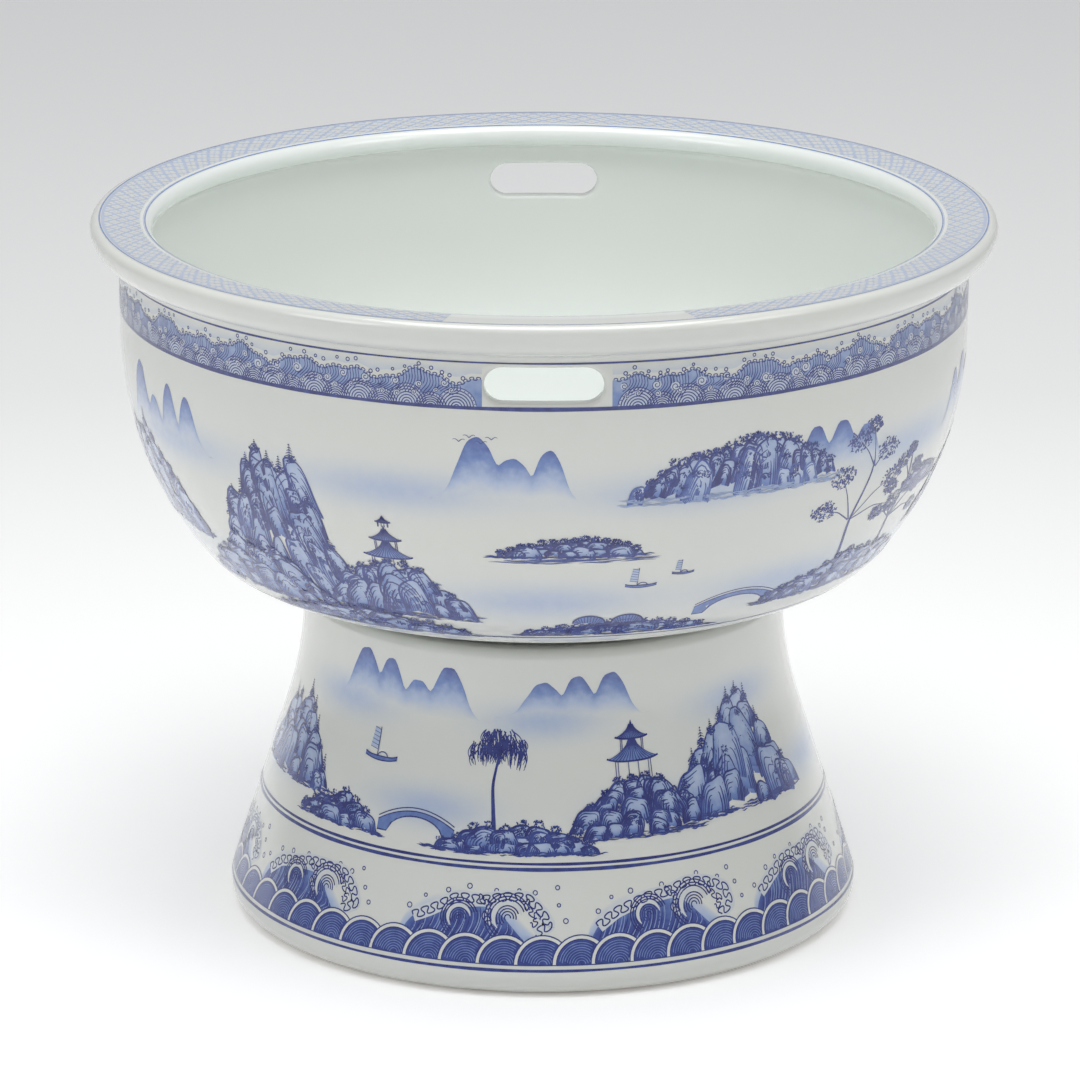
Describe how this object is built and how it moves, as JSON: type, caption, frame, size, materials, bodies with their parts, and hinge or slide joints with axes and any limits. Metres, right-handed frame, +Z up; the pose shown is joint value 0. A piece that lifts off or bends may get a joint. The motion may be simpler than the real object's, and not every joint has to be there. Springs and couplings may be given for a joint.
{
  "type": "jardiniere on stand",
  "caption": "Wide porcelain bowl with a rolled lip and hand slots, loose on a flared hollow stand; holds a plant, and the bowl lifts off.",
  "frame": {"origin": "centre of the stand's foot on the floor", "axes": "+Z up along the turning axis of both pieces; the two hand slots face -Y (front) and +Y"},
  "size_m": [0.64, 0.6398, 0.5072],
  "materials": {
    "bowl_glaze": "clear gloss glaze over cobalt blue painting",
    "stand_glaze": "clear gloss glaze over cobalt blue painting, bare at the foot"
  },
  "bodies": {
    "stand": {"stand": "stand_glaze"},
    "bowl": {"bowl": "bowl_glaze"}
  },
  "joints": [
    {"name": "bowl_lift", "type": "slide", "parent": "stand", "child": "bowl", "axis": [0, 0, 1], "range_m": [0, 0.12]}
  ]
}
